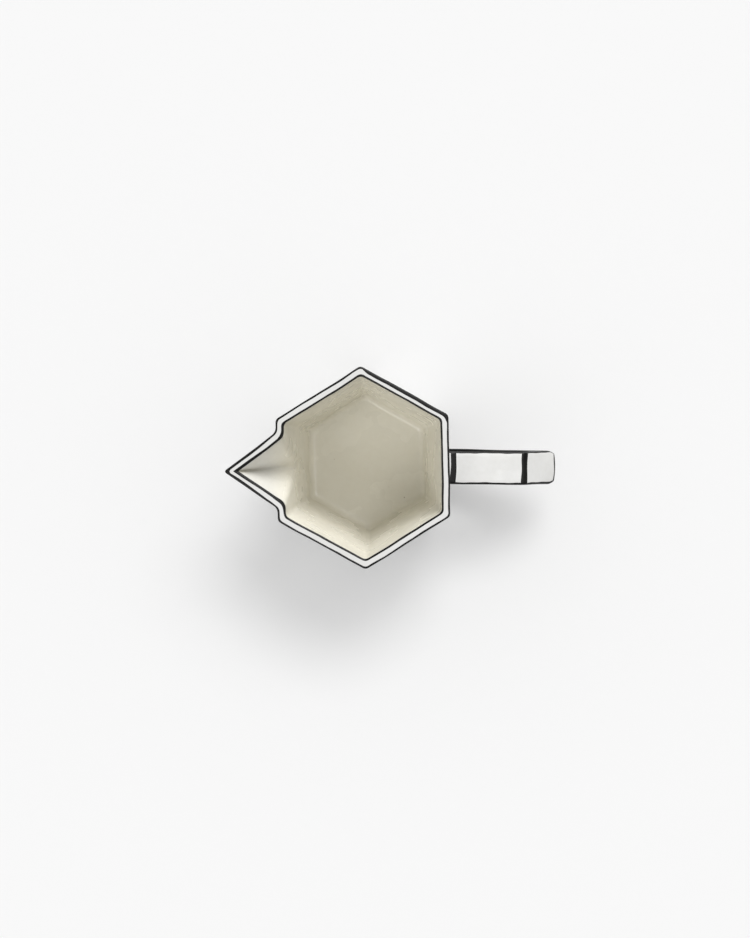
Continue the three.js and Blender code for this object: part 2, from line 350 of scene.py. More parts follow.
def clay_rings():
    """Rings from the middle of the underside, up the wall, over the rim and down to the floor."""
    rings = []
    insides = []

    def add(radius, z, inside):
        rings.append(on_ring(angles, radius, np.full(angles.shape, float(z))))
        insides.append(inside)

    def outer(z, depth=0.0, share=1.0):
        add(radius_at(outside, angles, z, -depth) * share, z, 0.0)

    def inner(z, depth=0.0, share=1.0):
        add(radius_at(hollow, angles, z, depth) * share, z, min(1.0, (RIM_Z - z) / IVORY_AND_BOUNCE_DEPTH))

    for share in UNDERSIDE_SHARES:
        outer(BASE_Z, BASE_ROUND, share)
    for depth, drop in reversed(lip_rows(BASE_ROUND, BASE_STEPS)):
        outer(BASE_Z + drop, depth)
    for z in wall_heights(BASE_Z + BASE_ROUND, RIM_Z - RIM_OUTER_ROUND, OUTER_SPACING):
        outer(z)
    for depth, drop in lip_rows(RIM_OUTER_ROUND, LIP_STEPS):
        outer(RIM_Z - drop, depth)
    outer_edge = radius_at(outside, angles, RIM_Z, -RIM_OUTER_ROUND)
    inner_edge = radius_at(hollow, angles, RIM_Z, RIM_INNER_ROUND)
    for share in LIP_TOP_SHARES:
        add(outer_edge + (inner_edge - outer_edge) * share, RIM_Z, 0.0)
    for depth, drop in reversed(lip_rows(RIM_INNER_ROUND, LIP_STEPS)):
        inner(RIM_Z - drop, depth)
    inner_heights = wall_heights(FLOOR_TOP + FLOOR_FILLET, RIM_Z - RIM_INNER_ROUND, INNER_SPACING)
    for z in reversed(inner_heights):
        inner(z)
    for depth, drop in lip_rows(FLOOR_FILLET, FILLET_STEPS):
        inner(FLOOR_TOP + drop, -depth)
    for share in FLOOR_SHARES:
        inner(FLOOR_TOP, -FLOOR_FILLET, share)
    return rings, insides


# size of the painted shade in the crease of the trough
CREASE_SHADE_LENGTH = 13.0
CREASE_SHADE_HALF_WIDTH = 0.75
CREASE_SHADE_FADE = 0.7
TROUGH_LESS_IVORY_AND_BOUNCE = 0.6  # how much less of the inside's ivory and painted bounce light the trough gets
TROUGH_STARTS = 4.0  # this far inside the wall, and it is fully the trough this far outside


def painted_crease_shade(x, y):
    """Painted shade in the crease of the trough, behind its tip: 0 to 1."""
    behind = (x + TROUGH_TIP) / CREASE_SHADE_LENGTH
    if not 0 <= behind < 1:
        return 0.0
    return (1 - behind) ** CREASE_SHADE_FADE * math.exp(-((y / CREASE_SHADE_HALF_WIDTH) ** 2))


def clay_mesh():
    rings, insides = clay_rings()
    mesh = thrown(rings, closed=False)
    inside = mesh.verts.layers.float.new("inside")
    crease_shade = mesh.verts.layers.float.new("crease_shade")
    row = mesh.verts.layers.int["row"]
    for vert in mesh.verts:
        past_start = -vert.co.x - RIM_FLAT + TROUGH_STARTS
        in_trough = min(max(past_start / (2 * TROUGH_STARTS), 0), 1)
        # the shallow trough gets less of the inside colour with its painted bounce light
        vert[inside] = insides[vert[row]] * (1 - TROUGH_LESS_IVORY_AND_BOUNCE * in_trough)
        # painted shade in the crease of the trough, on the inside only
        if insides[vert[row]] > 0:
            vert[crease_shade] = painted_crease_shade(vert.co.x, vert.co.y)
    return mesh


SPOUT_CUT = 0.7  # the spout begins this far out from the wall
ON_THE_CUT = 1e-4
MOST_CORNERS = 6  # a face with more corners than this is the cut's own


def cut_apart(mesh):
    """Cuts the clay along the wall behind the spout, and returns the body and the spout."""
    through = Vector((-RIM_FLAT - SPOUT_CUT, 0, RIM_Z))
    outward = Vector((-1, 0, -WALL_SLOPE)).normalized()
    everything = list(mesh.verts) + list(mesh.edges) + list(mesh.faces)
    bmesh.ops.bisect_plane(
        mesh, geom=everything, dist=ON_THE_CUT, plane_co=through, plane_no=outward,
    )
    mesh.normal_update()
    smooth = mesh.verts.layers.float_vector.new("glaze_normal")
    for vert in mesh.verts:
        vert[smooth] = vert.normal
    parts = []
    for sign in (1, -1):
        part = mesh.copy()
        away = [f for f in part.faces if sign * (f.calc_center_median() - through).dot(outward) > 0]
        bmesh.ops.delete(part, geom=away, context="FACES")
        rim = [edge for edge in part.edges if edge.is_boundary]
        bmesh.ops.holes_fill(part, edges=rim, sides=0)
        parts.append(part)
    mesh.free()
    return parts


def keep_glaze_normals(piece):
    """Shades both sides of the cut as one surface, and the cut itself as flat."""
    data = piece.data
    smooth = data.attributes["glaze_normal"].data
    normals = [None] * len(data.loops)
    for polygon in data.polygons:
        is_cut = polygon.loop_total > MOST_CORNERS
        for index in polygon.loop_indices:
            at_vertex = smooth[data.loops[index].vertex_index].vector
            normals[index] = polygon.normal if is_cut else at_vertex
    data.normals_split_custom_set(normals)
    data.attributes.remove(data.attributes["glaze_normal"])


# ---- handle ----

STRAP_THICKNESS = 3.4
STRAP_TRIM = 0.1  # near the wall, each side is this much further in than the frame's
STRAP_HALF = strap_high.y - STRAP_TRIM
STRAP_EDGE_ROUND = 0.9
BEND_ROUND = 2.2  # middle of the strap's thickness, round a bend
ELBOW_PLAN_ROUND = 2.4  # the elbow's corners, seen from above
UPPER_ROOT_Z = 62.0
LOWER_ROOT_Z = 14.0
STRAP_END_OUT = 0.4  # past the frame's own end; rounding the elbow takes it back inside
STRAP_END_X = strap_high.x - AXIS_X + STRAP_END_OUT
SHOULDER_X = (shoulder_low.x + shoulder_high.x) / 2 - AXIS_X
SHOULDER_DROP = 0.2  # the shoulder is this far below the clay under the band's highest point
SHOULDER_Z = shoulder_high.z - CAD_LIFT - SHOULDER_DROP
ELBOW_Z = 37.0
ELBOW_OUT = 0.6  # the sharp elbow is further out by this share of the bend's outer radius
ELBOW_SHARP_X = STRAP_END_X + ELBOW_OUT * (BEND_ROUND + STRAP_THICKNESS / 2)
BOW = 0.7  # the elbow's middle stands out further than its corners, by about this much
BOW_REACH = 8.0
STRAP_WIDENING = 0.006  # of each side, for each millimetre away from the body
ROOT_FILLET = 0.35
ROOT_SWELL = 0.75  # how strongly the strap swells at the wall, against the fillet's length
ROOT_STEEPNESS = 0.96  # at 1 the fillet would run out flat along the wall
BURIED = 2.2  # the strap's ends go this far into the wall


def root_point(corner, z):
    wall = Vector((wall_flat(z), z))
    return wall + (wall - corner).normalized() * BURIED


def strap_corners():
    """The outer surface seen from the side: upper root, shoulder, elbow and lower root."""
    shoulder = Vector((SHOULDER_X, SHOULDER_Z))
    elbow = Vector((ELBOW_SHARP_X, ELBOW_Z))
    return [root_point(shoulder, UPPER_ROOT_Z), shoulder, elbow, root_point(elbow, LOWER_ROOT_Z)]


def moved_inwards(corners, distance):
    normals = []
    for start, end in zip(corners, corners[1:]):
        along = (end - start).normalized()
        normals.append(Vector((-along.y, along.x)))
    moved = []
    for index, corner in enumerate(corners):
        before = normals[max(index - 1, 0)]
        after = normals[min(index, len(normals) - 1)]
        middle = (before + after).normalized()
        moved.append(corner - middle * (distance / middle.dot(after)))
    return moved


STRAP_STEP = 0.8
BEND_STEPS = 12


def strap_stations():
    """Points along the middle of the strap: places, outward normals and lengths from the top."""
    corners = moved_inwards(strap_corners(), STRAP_THICKNESS / 2)
    places = []
    normals = []

    def straight(start, end):
        along = (end - start).normalized()
        steps = max(2, round((end - start).length / STRAP_STEP))
        for step in range(steps + 1):
            places.append(start.lerp(end, step / steps))
            normals.append(Vector((-along.y, along.x)))

    start = corners[0]
    for before, corner, after in zip(corners, corners[1:], corners[2:]):
        along_in = (corner - before).normalized()
        along_out = (after - corner).normalized()
        bend = along_in.angle(along_out)
        reach = BEND_ROUND * math.tan(bend / 2)
        straight(start, corner - along_in * reach)
        normal_in = Vector((-along_in.y, along_in.x))
        centre = corner - along_in * reach - normal_in * BEND_ROUND
        for step in range(1, BEND_STEPS):
            normal = normal_in.copy()
            normal.rotate(Matrix.Rotation(-bend * step / BEND_STEPS, 2))
            places.append(centre + normal * BEND_ROUND)
            normals.append(normal)
        start = corner + along_out * reach
    straight(start, corners[-1])
    places = np.array([tuple(place) for place in places])
    normals = np.array([tuple(normal) for normal in normals])
    steps = np.linalg.norm(np.diff(places, axis=0), axis=1)
    return places, normals, np.concatenate([[0], np.cumsum(steps)])


strap_places, strap_normals, strap_lengths = strap_stations()
STRAP_LENGTH = strap_lengths[-1]


def strap_half_width(x):
    past = np.clip(x - (STRAP_END_X - STRAP_THICKNESS / 2 - ELBOW_PLAN_ROUND), 0, ELBOW_PLAN_ROUND)
    corner = ELBOW_PLAN_ROUND - np.sqrt(ELBOW_PLAN_ROUND ** 2 - past ** 2)
    return STRAP_HALF + (x - RIM_FLAT) * STRAP_WIDENING - corner


def root_flare(length):
    """How much the strap swells where slip joins it to the wall."""
    from_wall = np.minimum(length, STRAP_LENGTH - length) - BURIED
    share = np.clip(1 - from_wall / ROOT_FILLET, 0, 1)
    return ROOT_FILLET * ROOT_SWELL * (1 - np.sqrt(1 - share ** 2 * ROOT_STEEPNESS))


def strap_waver(length):
    """Small unevenness of the strap's width and of its way to the side."""
    return 0.12 * np.sin(length / 7.3 + 0.6) + 0.08 * np.sin(length / 3.9 + 2.0)


def on_strap(station, across, outward):
    """A point of the strap from its station, distance across it and height over its middle."""
    x = strap_places[station][0] + strap_normals[station][0] * outward
    z = strap_places[station][1] + strap_normals[station][1] * outward
    y = across + strap_waver(strap_lengths[station]) * 0.5
    near_elbow = min(max((x - STRAP_END_X) / BOW_REACH + 1, 0), 1)
    turn_x = x - RIM_FLAT - BOW * near_elbow * (across / STRAP_HALF) ** 2
    return (
        RIM_FLAT + turn_x * math.cos(STRAP_SKEW) - y * math.sin(STRAP_SKEW),
        STRAP_SHIFT + y * math.cos(STRAP_SKEW) + turn_x * math.sin(STRAP_SKEW),
        z,
    )


def strap_size(station):
    """Half width and half thickness of the strap at a station."""
    length = strap_lengths[station]
    flare = root_flare(length)
    half = strap_half_width(strap_places[station][0]) + flare + 0.3 * strap_waver(length + 40)
    return half, STRAP_THICKNESS / 2 + flare


def round_edge(station, along, lift, face, side):
    """A point near one long edge of the strap.

    along is the distance from the middle of the rounded edge, negative on the broad face
    and positive on the narrow side. face and side are 1 or -1.
    """
    half, thick = strap_size(station)
    radius = STRAP_EDGE_ROUND
    arc = radius * math.pi / 4
    if along < -arc:
        across, outward = half - radius + arc + along, thick + lift
    elif along > arc:
        across, outward = half + lift, thick - radius - (along - arc)
    else:
        phase = math.pi / 4 - along / radius
        across = half - radius + (radius + lift) * math.cos(phase)
        outward = thick - radius + (radius + lift) * math.sin(phase)
    return on_strap(station, side * across, face * outward)


FACE_POINTS = 9
EDGE_STEPS = 6


def strap_section(station):
    half, thick = strap_size(station)
    arc = STRAP_EDGE_ROUND * math.pi / 4
    points = []
    for face, side in ((1, 1), (-1, 1), (-1, -1), (1, -1)):
        turn = face * side
        corner = [
            round_edge(station, -turn * arc + turn * 2 * arc * step / EDGE_STEPS, 0, face, side)
            for step in range(EDGE_STEPS + 1)
        ]
        points += corner
        if face == -1 and side == 1 or face == 1 and side == -1:
            reach = half - STRAP_EDGE_ROUND
            for step in range(1, FACE_POINTS):
                share = 1 - 2 * step / FACE_POINTS
                across = side * reach * share
                points.append(on_strap(station, across, face * thick))
    return points


def handle_mesh():
    return tube([strap_section(station) for station in range(len(strap_lengths))])


# ---- brushed lines ----

def stroke_profile():
    """Across a stroke and back under it: share of its width, and height over the glaze."""
    profile = []
    for step in range(STROKE_TOP_STEPS + 1):
        share = step / STROKE_TOP_STEPS
        crown = (1 + STROKE_EDGE_SINK) * (1 - (2 * share - 1) ** 6)
        profile.append((share, STROKE_LIFT * (crown - STROKE_EDGE_SINK)))
    for step in range(1, STROKE_UNDER_STEPS):
        profile.append((1 - step / STROKE_UNDER_STEPS, -STROKE_SINK))
    return profile


def waver(angle, seed):
    """Unsteady brush, round the axis: about -1 to 1."""
    total = 0.45 * np.sin(7 * angle + seed) + 0.3 * np.sin(17 * angle + 2.3 * seed)
    return total + 0.2 * np.sin(31 * angle + 3.1 * seed) + 0.12 * np.sin(67 * angle + 1.7 * seed)


def swell(angle, start, end, soft):
    """1 between two directions in degrees, falling to 0 on both sides."""
    degrees = np.degrees(angle)
    rise = np.clip((degrees - start) / soft, 0, 1)
    fall = np.clip((end - degrees) / soft, 0, 1)
    return np.sin(np.minimum(rise, fall) * math.pi / 2)


def lip_stroke(field, sign, radius, top_width, side_width):
    """A stroke over the rounded edge of the rim. sign is 1 on the outer edge, -1 on the inner."""
    arc = radius * math.pi / 2
    rings = []
    for share, lift in stroke_profile():
        place = -(top_width - radius) + (top_width - radius + arc + side_width - radius) * share
        phase = np.clip(place / radius, 0, math.pi / 2)
        past_top = np.maximum(-place, 0)
        past_side = np.maximum(place - arc, 0)
        depth = radius * (1 - np.sin(phase)) + past_top - lift * np.sin(phase)
        z = RIM_Z - radius * (1 - np.cos(phase)) - past_side + lift * np.cos(phase)
        rings.append(on_ring(angles, radius_at(field, angles, z, -sign * depth), z))
    return turned(thrown(rings, closed=True))


# where the rim's lines are thicker: from and to round the axis, and how far they take to grow,
# all in degrees
HEAVY_SIDE = (27, 89, 4)
STREAKY_SIDE = (181, 202, 4)
OUTER_TIP = (160, 196, 19)
INNER_TIP = (168, 190, 10)
INNER_CORNERS = ((148, 160, 4), (196, 209, 4))


def rim_outer_line():
    heavy = swell(angles, *HEAVY_SIDE)
    streaky = swell(angles, *STREAKY_SIDE)
    tip = swell(angles, *OUTER_TIP)
    top = 0.88 + 0.1 * waver(angles, 1.0) + 0.8 * heavy + 0.2 * streaky + 0.45 * tip
    side = 1.5 + 0.25 * waver(angles, 2.0) + 0.8 * heavy
    return lip_stroke(outside, 1, RIM_OUTER_ROUND, top, side)


def rim_inner_line():
    corners = sum(swell(angles, *corner) for corner in INNER_CORNERS)
    tip = swell(angles, *INNER_TIP)
    top = 0.76 + 0.08 * waver(angles, 3.0) + 0.25 * corners + 0.25 * tip
    side = 0.7 + 0.08 * waver(angles, 4.0) + 0.3 * corners
    return lip_stroke(hollow, -1, RIM_INNER_ROUND, top, side)


def foot_stroke():
    low = foot_line_low.z + 0.12 * waver(angles, 5.0)
    high = foot_line_high.z + 0.15 * waver(angles, 6.0)
    rings = []
    for share, lift in stroke_profile():
        z = low + (high - low) * share
        rings.append(on_ring(angles, radius_at(outside, angles, z, lift), z))
    return turned(thrown(rings, closed=True))


def taper(place, first, last, tip_share, length):
    """Share of a stroke's width near its ends, and 1 between them."""
    return min(1.0, tip_share + (place - first) / length, tip_share + (last - place) / length)


UPRIGHT_STEP = 0.8
UPRIGHT_TIP = (0.35, 1.2)  # share of the width at the very end, and how far per whole width
EDGE_TIP = (0.3, 1.5)


def upright_stroke(direction, z_low, z_high, half_width, seed, lean=0.0):
    """A stroke up the outside. direction(z) is where it runs, in radians round the axis."""
    sections = []
    for z in np.linspace(z_low, z_high, round((z_high - z_low) / UPRIGHT_STEP)):
        centre = direction(z)
        reach = float(radius_at(outside, np.array([centre]), z, 0.0)[0])
        half = half_width * taper(z, z_low, z_high, *UPRIGHT_TIP)
        left = 1 + 0.22 * math.sin(z / 5.1 + seed) + 0.12 * math.sin(z / 1.9 + seed)
        right = 1 + 0.22 * math.sin(z / 4.3 + 2 * seed) + 0.1 * math.sin(z / 1.6)
        left *= half
        right *= half
        shift = 0.18 * math.sin(z / 9.7 + 1.3 * seed)
        profile = stroke_profile()
        offsets = np.array([shift - left + (left + right) * share for share, _ in profile])
        lifts = np.array([lift for _, lift in profile])
        around = centre + offsets * math.cos(lean) / reach
        level = np.full(around.shape, float(z))
        sections.append(on_ring(around, radius_at(outside, around, level, lifts), level))
    return turned(tube(sections))


def strap_edge_stroke(face, side, first, last, widths, seed):
    """A stroke along a long edge. widths gives its reach on the broad face and narrow side."""
    sections = []
    for station in range(len(strap_lengths)):
        length = strap_lengths[station]
        if not first <= length <= last:
            continue
        on_face, on_side = widths(length)
        share_here = taper(length, first, last, *EDGE_TIP)
        brush = 0.12 * math.sin(length / 2.7 + seed) + 0.1 * math.sin(length / 1.1 + 2 * seed)
        start = -(on_face + brush * 0.6) * share_here
        end = (on_side + 0.5 * brush) * share_here
        sections.append([
            round_edge(station, start + (end - start) * share, lift, face, side)
            for share, lift in stroke_profile()
        ])
    return tube(sections)


BAND_STEPS = 40
BAND_INSET = 0.25  # from the strap's edge to the band's ends


def strap_band(start, end, seed):
    """A stroke straight across the outer face, between two distances along the strap."""
    stations = np.arange(len(strap_lengths))

    def at_length(length):
        return np.interp(length, strap_lengths, stations)

    sections = []
    middle = (start + end) / 2
    half = strap_size(int(at_length(middle)))[0]
    reach = half - BAND_INSET
    for across in np.linspace(-reach, reach, BAND_STEPS):
        near = start + 0.14 * math.sin(across / 1.7 + seed) + 0.02 * across
        far = end + 0.16 * math.sin(across / 2.3 + 2 * seed) + 0.02 * across
        section = []
        for share, lift in stroke_profile():
            exact = at_length(near + (far - near) * share)
            below = int(exact)
            above = min(below + 1, len(strap_lengths) - 1)
            part = exact - below
            edge_fall = max(abs(across) - (half - STRAP_EDGE_ROUND), 0)
            drop = STRAP_EDGE_ROUND - math.sqrt(max(STRAP_EDGE_ROUND ** 2 - edge_fall ** 2, 0))
            ends = []
            for station in (below, above):
                thick = strap_size(station)[1]
                ends.append(Vector(on_strap(station, across, thick + lift - drop)))
            section.append(ends[0].lerp(ends[1], part))
        sections.append(section)
    return tube(sections)


# ---- materials ----

def new_material(name):
    material = bpy.data.materials.new(name)
    material.use_nodes = True
    nodes = material.node_tree.nodes
    return material, nodes, material.node_tree.links, nodes["Principled BSDF"]


def add_noise(nodes, links, coordinates, scale, detail=2.0, roughness=0.5):
    noise = nodes.new("ShaderNodeTexNoise")
    noise.inputs["Scale"].default_value = scale
    noise.inputs["Detail"].default_value = detail
    noise.inputs["Roughness"].default_value = roughness
    links.new(coordinates, noise.inputs["Vector"])
    return noise.outputs["Fac"]


def add_ramp(nodes, links, value, stops):
    ramp = nodes.new("ShaderNodeValToRGB")
    elements = ramp.color_ramp.elements
    while len(elements) < len(stops):
        elements.new(0.5)
    for element, (position, colour) in zip(elements, stops):
        element.position = position
        element.color = (*colour, 1)
    links.new(value, ramp.inputs["Fac"])
    return ramp.outputs["Color"]


def add_mix(nodes, links, factor, first, second, blend="MIX"):
    mix = nodes.new("ShaderNodeMix")
    mix.data_type = "RGBA"
    mix.blend_type = blend
    if isinstance(factor, float):
        mix.inputs["Factor"].default_value = factor
    else:
        links.new(factor, mix.inputs["Factor"])
    for socket, value in ((mix.inputs[6], first), (mix.inputs[7], second)):
        if isinstance(value, tuple):
            socket.default_value = (*value, 1)
        else:
            links.new(value, socket)
    return mix.outputs[2]


def add_bump(nodes, links, height, strength, distance, below=None):
    bump = nodes.new("ShaderNodeBump")
    bump.inputs["Strength"].default_value = strength
    bump.inputs["Distance"].default_value = distance
    links.new(height, bump.inputs["Height"])
    if below is not None:
        links.new(below, bump.inputs["Normal"])
    return bump.outputs["Normal"]


def add_specks(nodes, links, coordinates, scale, radius):
    """Rare round specks: 1 in the middle of a speck and 0 elsewhere."""
    cells = nodes.new("ShaderNodeTexVoronoi")
    cells.feature = "F1"
    cells.inputs["Scale"].default_value = scale
    cells.inputs["Randomness"].default_value = 1.0
    links.new(coordinates, cells.inputs["Vector"])
    stops = [(0.0, (1, 1, 1)), (radius, (0, 0, 0))]
    return add_ramp(nodes, links, cells.outputs["Distance"], stops)


WHITE = (0.675, 0.675, 0.667)
# Inside colour: partly the glaze's own creamier tone, partly painted warm bounce light of the
# hollow, which also makes it brighter than WHITE.
IVORY_AND_BOUNCE_LIGHT = (0.835, 0.812, 0.725)
CREASE_SHADE = (0.42, 0.4, 0.33)  # painted shade in the crease of the trough
IRON_SPECK = (0.34, 0.29, 0.22)
GROG = (0.30, 0.22, 0.15)
INSIDE_SATIN = 0.07  # how much rougher the glaze is inside


def white_glaze():
    """Glossy warm white over the clay, with specks and pinholes. Inside it is creamier and
    brighter: partly a creamier glaze, partly painted warm bounce light of the hollow; painted shade
    darkens the crease of the trough.
    """
    material, nodes, links, shader = new_material("white_glaze")
    coordinates = nodes.new("ShaderNodeTexCoord").outputs["Object"]
    inside = nodes.new("ShaderNodeAttribute")
    inside.attribute_name = "inside"
    # the inside colour holds painted bounce light as well as a creamier glaze
    base = add_mix(nodes, links, inside.outputs["Fac"], WHITE, IVORY_AND_BOUNCE_LIGHT)
    clouds = add_noise(nodes, links, coordinates, 38, 3)
    tint = add_ramp(nodes, links, clouds, [(0.3, (0.955, 0.95, 0.935)), (0.7, (1, 1, 1))])
    base = add_mix(nodes, links, 1.0, base, tint, "MULTIPLY")
    fine = add_noise(nodes, links, coordinates, 420, 4, 0.6)
    grain = add_ramp(nodes, links, fine, [(0.35, (0.975, 0.972, 0.965)), (0.65, (1, 1, 1))])
    base = add_mix(nodes, links, 1.0, base, grain, "MULTIPLY")
    specks = add_specks(nodes, links, coordinates, 60, 0.028)
    base = add_mix(nodes, links, specks, base, IRON_SPECK)
    # painted shade darkens the crease of the trough behind its tip
    crease_shade = nodes.new("ShaderNodeAttribute")
    crease_shade.attribute_name = "crease_shade"
    base = add_mix(nodes, links, crease_shade.outputs["Fac"], base, CREASE_SHADE)
    links.new(base, shader.inputs["Base Color"])
    gloss = nodes.new("ShaderNodeMapRange")
    gloss.inputs["To Min"].default_value = 0.13
    gloss.inputs["To Max"].default_value = 0.27
    links.new(clouds, gloss.inputs["Value"])
    satin = nodes.new("ShaderNodeMath")
    satin.operation = "MULTIPLY_ADD"
    satin.inputs[1].default_value = INSIDE_SATIN
    links.new(inside.outputs["Fac"], satin.inputs[0])
    links.new(gloss.outputs["Result"], satin.inputs[2])
    links.new(satin.outputs["Value"], shader.inputs["Roughness"])
    ripple = add_noise(nodes, links, coordinates, 120, 2)
    normal = add_bump(nodes, links, ripple, 0.5, 0.0004)
    pinholes = add_specks(nodes, links, coordinates, 145, 0.05)
    invert = nodes.new("ShaderNodeInvert")
    links.new(pinholes, invert.inputs["Color"])
    normal = add_bump(nodes, links, invert.outputs["Color"], 0.5, 0.0002, normal)
    links.new(normal, shader.inputs["Normal"])
    return material


def black_line():
    """Brushed black: dense in most places, thinner and greyer where the brush ran dry."""
    material, nodes, links, shader = new_material("black_line")
    coordinates = nodes.new("ShaderNodeTexCoord").outputs["Object"]
    load = add_noise(nodes, links, coordinates, 90, 3, 0.6)
    colour = add_ramp(nodes, links, load, [
        (0.42, (0.003, 0.003, 0.003)), (0.62, (0.007, 0.007, 0.006)), (0.78, (0.022, 0.021, 0.02)),
    ])
    bristle = add_noise(nodes, links, coordinates, 1400, 2, 0.7)
    streak = add_ramp(nodes, links, bristle, [(0.35, (0.7, 0.7, 0.7)), (0.7, (1.25, 1.25, 1.22))])
    colour = add_mix(nodes, links, 1.0, colour, streak, "MULTIPLY")
    links.new(colour, shader.inputs["Base Color"])
    gloss = nodes.new("ShaderNodeMapRange")
    gloss.inputs["To Min"].default_value = 0.28
    gloss.inputs["To Max"].default_value = 0.5
    links.new(load, gloss.inputs["Value"])
    links.new(gloss.outputs["Result"], shader.inputs["Roughness"])
    shader.inputs["Specular IOR Level"].default_value = 0.25
    links.new(add_bump(nodes, links, bristle, 0.3, 0.0001), shader.inputs["Normal"])
    return material


def bare_clay():
    """Matt fired clay under the foot, sanded smooth, with darker grog in it."""
    material, nodes, links, shader = new_material("bare_clay")
    coordinates = nodes.new("ShaderNodeTexCoord").outputs["Object"]
    clouds = add_noise(nodes, links, coordinates, 90, 4)
    base = add_ramp(nodes, links, clouds, [(0.3, (0.50, 0.43, 0.33)), (0.7, (0.64, 0.57, 0.46))])
    grog = add_specks(nodes, links, coordinates, 620, 0.22)
    base = add_mix(nodes, links, grog, base, GROG)
    links.new(base, shader.inputs["Base Color"])
    shader.inputs["Roughness"].default_value = 0.85
    grain = add_noise(nodes, links, coordinates, 1500, 3, 0.7)
    links.new(add_bump(nodes, links, grain, 0.6, 0.0002), shader.inputs["Normal"])
    return material


# ---- the pieces ----

glaze = white_glaze()
black = black_line()
clay = bare_clay()

body_clay, spout_clay = cut_apart(clay_mesh())
keep_glaze_normals(finished("body", turned(body_clay), glaze, ["body_shell"]))
keep_glaze_normals(finished("pouring_spout", turned(spout_clay), glaze, ["spout"]))
finished("strap_handle", handle_mesh(), glaze, ["handle"])


def foot_ring_mesh():
    """A six-sided ring with softened edges under the base."""
    height = foot_high.z - foot_low.z + FOOT_OVERLAP
    outer = (foot_high.x - foot_low.x) / 2
    inner = outer - FOOT_WIDTH
    middle = (outer + inner) / 2
    half = (outer - inner) / 2
    profile = []
    for corner_x, corner_z in ((1, -1), (1, 1), (-1, 1), (-1, -1)):
        first = math.atan2(corner_z, corner_x) - math.pi / 4
        for step in range(FOOT_CORNER_STEPS + 1):
            phase = first + step / FOOT_CORNER_STEPS * math.pi / 2
            profile.append((
                middle + corner_x * (half - FOOT_ROUND) + FOOT_ROUND * math.cos(phase),
                height / 2 + corner_z * (height / 2 - FOOT_ROUND) + FOOT_ROUND * math.sin(phase),
            ))
    rings = []
    for flat, z in profile:
        def ring_field(x, y, _z, flat=flat):
            return hexagon(x, y, flat, ARRIS_ROUND)
        radius = radius_at(ring_field, angles, z, 0.0)
        rings.append(np.stack([
            radius * np.cos(angles), radius * np.sin(angles), np.full(angles.shape, z),
        ], axis=-1))
    return turned(thrown(rings, closed=True))


finished("foot", foot_ring_mesh(), clay, ["foot_ring"])


def line(name, mesh, *nodes):
    finished(name, mesh, black, nodes)


line("rim_outer_stroke", rim_outer_line(), "rim_outer_line")
line("rim_inner_stroke", rim_inner_line(), "rim_inner_line")
line("foot_stroke", foot_stroke(), "foot_line")

ARRIS_LOW = foot_line_high.z - 0.3
ARRIS_HIGH = RIM_Z - 1.2
ARRIS_HALF_WIDTH = 0.75
SPOUT_ROOT_HALF_WIDTH = 0.6
KEEL_STROKE_LOW = KEEL_ROOT_Z + 0.4
SPOUT_ROOT_STROKE_LOW = KEEL_ROOT_Z + 2.5
KEEL_LEAN = 0.9  # radians; the sides fall away, so the stroke covers less of the way round
for side in range(SIDES):
    corner = math.radians(corner_degrees(side))
    stroke = upright_stroke(
        lambda z, corner=corner: corner, ARRIS_LOW, ARRIS_HIGH, ARRIS_HALF_WIDTH, 1.0 + side,
    )
    line(f"arris_stroke_{side + 1}", stroke, f"arris_line_{side + 1}")

keel_stroke = upright_stroke(
    lambda z: math.radians(SPOUT_TIP_AT), KEEL_STROKE_LOW, ARRIS_HIGH, ARRIS_HALF_WIDTH, 9.0,
    lean=KEEL_LEAN,
)
line("spout_keel_stroke", keel_stroke, "spout_keel_line")


def spout_root_direction(z):
    """Where the beak's side leaves the wall at a height, towards +Y."""
    wall = wall_flat(z)
    across = (BEAK_LEVEL - BEAK_NORMAL.z * z + BEAK_NORMAL.x * wall) / BEAK_NORMAL.y
    return math.atan2(max(across, 0), -wall)


for side_name, sign in (("right", 1), ("left", -1)):
    def root_direction(z, sign=sign):
        return sign * spout_root_direction(z)
    stroke = upright_stroke(
        root_direction, SPOUT_ROOT_STROKE_LOW, ARRIS_HIGH, SPOUT_ROOT_HALF_WIDTH, 12.0 + sign,
    )
    line(f"spout_root_stroke_{side_name}", stroke, f"spout_root_line_{side_name}")

upper_arm = slice(len(strap_places) // 2)
SHOULDER_AT = float(np.interp(SHOULDER_X, strap_places[upper_arm, 0], strap_lengths[upper_arm]))
ELBOW_AT = float(strap_lengths[int(np.argmax(strap_places[:, 0]))])
BRUSH_CLEARANCE = 0.3  # the brush starts this far out from the wall
STRAP_START = BURIED + BRUSH_CLEARANCE
STRAP_STOP = STRAP_LENGTH - BURIED - BRUSH_CLEARANCE
OUTER_ON_ARMS = {"right": 0.5, "left": 0.75}  # reach on the broad face, along both arms
OUTER_ON_SLANT = {"right": 0.4, "left": 0.9}  # and between the shoulder and the elbow
OUTER_ON_SIDE = 1.1
OUTER_SIDE_THINNING = 0.35
SLANT_BEGINS_OVER = 2.5  # past the shoulder
SLANT_ENDS_AT = ELBOW_AT + 6
SLANT_ENDS_OVER = 4.0
INNER_REACH = 1.05


def outer_widths(side_name):
    """One width along both arms, and another between the shoulder and the elbow."""
    on_arms = OUTER_ON_ARMS[side_name]
    on_slant = OUTER_ON_SLANT[side_name]

    def widths(length):
        begun = min(max((length - SHOULDER_AT) / SLANT_BEGINS_OVER, 0), 1)
        between = begun * min(max((SLANT_ENDS_AT - length) / SLANT_ENDS_OVER, 0), 1)
        on_side = OUTER_ON_SIDE - OUTER_SIDE_THINNING * between
        return on_arms + (on_slant - on_arms) * between, on_side
    return widths


def inner_widths(length):
    """The same width all along."""
    return INNER_REACH, INNER_REACH


